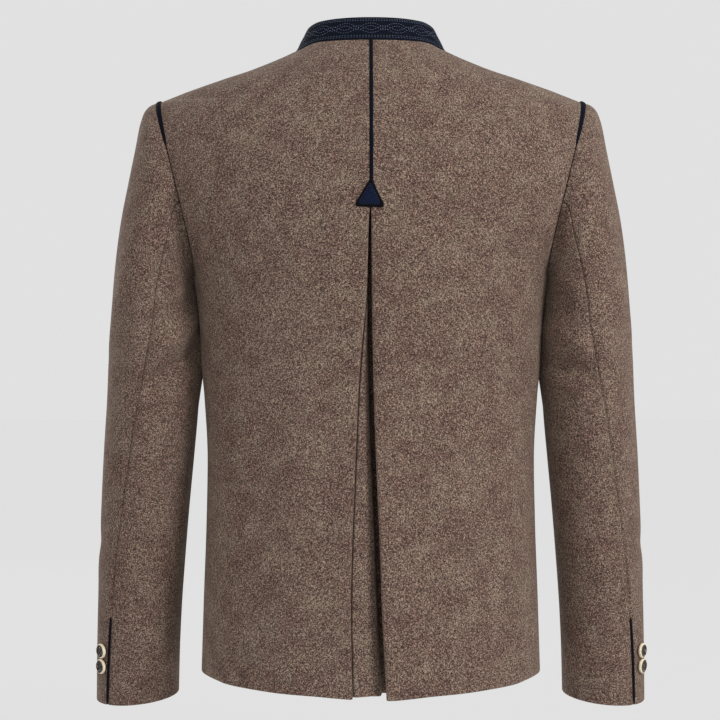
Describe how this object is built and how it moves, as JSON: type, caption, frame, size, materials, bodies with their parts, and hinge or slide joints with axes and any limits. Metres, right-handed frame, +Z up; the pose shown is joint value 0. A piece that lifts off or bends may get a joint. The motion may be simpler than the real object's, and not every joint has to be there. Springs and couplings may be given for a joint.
{
  "type": "trachten coat",
  "caption": "Hip-length wool tweed jacket in its worn form, with a stand collar, navy piping, an inverted back pleat and two-piece sleeves with buttoned cuffs.",
  "frame": {"origin": "on the centre line between the two points where the shoulder seams meet the collar, level with them", "axes": "+Z up along the back, +Y towards the back, +X towards the wearer's left; the front faces -Y"},
  "size_m": [0.6124, 0.2842, 0.7481],
  "materials": {
    "heather_tweed": "brown and taupe heather wool tweed, napped, matt",
    "navy_wool": "dark navy wool cloth with tone-on-tone stitched rows",
    "navy_piping": "dark navy wool piping and patch",
    "stag_horn": "satin cream horn with a dark brown centre"
  },
  "bodies": {
    "root": {"back_left": "heather_tweed", "back_right": "heather_tweed", "pleat_underlay": "heather_tweed", "front_left": "heather_tweed", "front_right": "heather_tweed", "sleeve_top_left": "heather_tweed", "sleeve_top_right": "heather_tweed", "sleeve_under_left": "heather_tweed", "sleeve_under_right": "heather_tweed", "collar": "navy_wool", "piping_back": "navy_piping", "back_triangle": "navy_piping", "piping_armhole_left": "navy_piping", "piping_armhole_right": "navy_piping", "piping_cuff_left": "navy_piping", "piping_cuff_right": "navy_piping", "cuff_button_left_1": "stag_horn", "cuff_button_left_2": "stag_horn", "cuff_button_right_1": "stag_horn", "cuff_button_right_2": "stag_horn", "front_button_1": "stag_horn", "front_button_2": "stag_horn", "front_button_3": "stag_horn", "front_button_4": "stag_horn", "front_button_5": "stag_horn", "front_button_6": "stag_horn"}
  },
  "joints": []
}
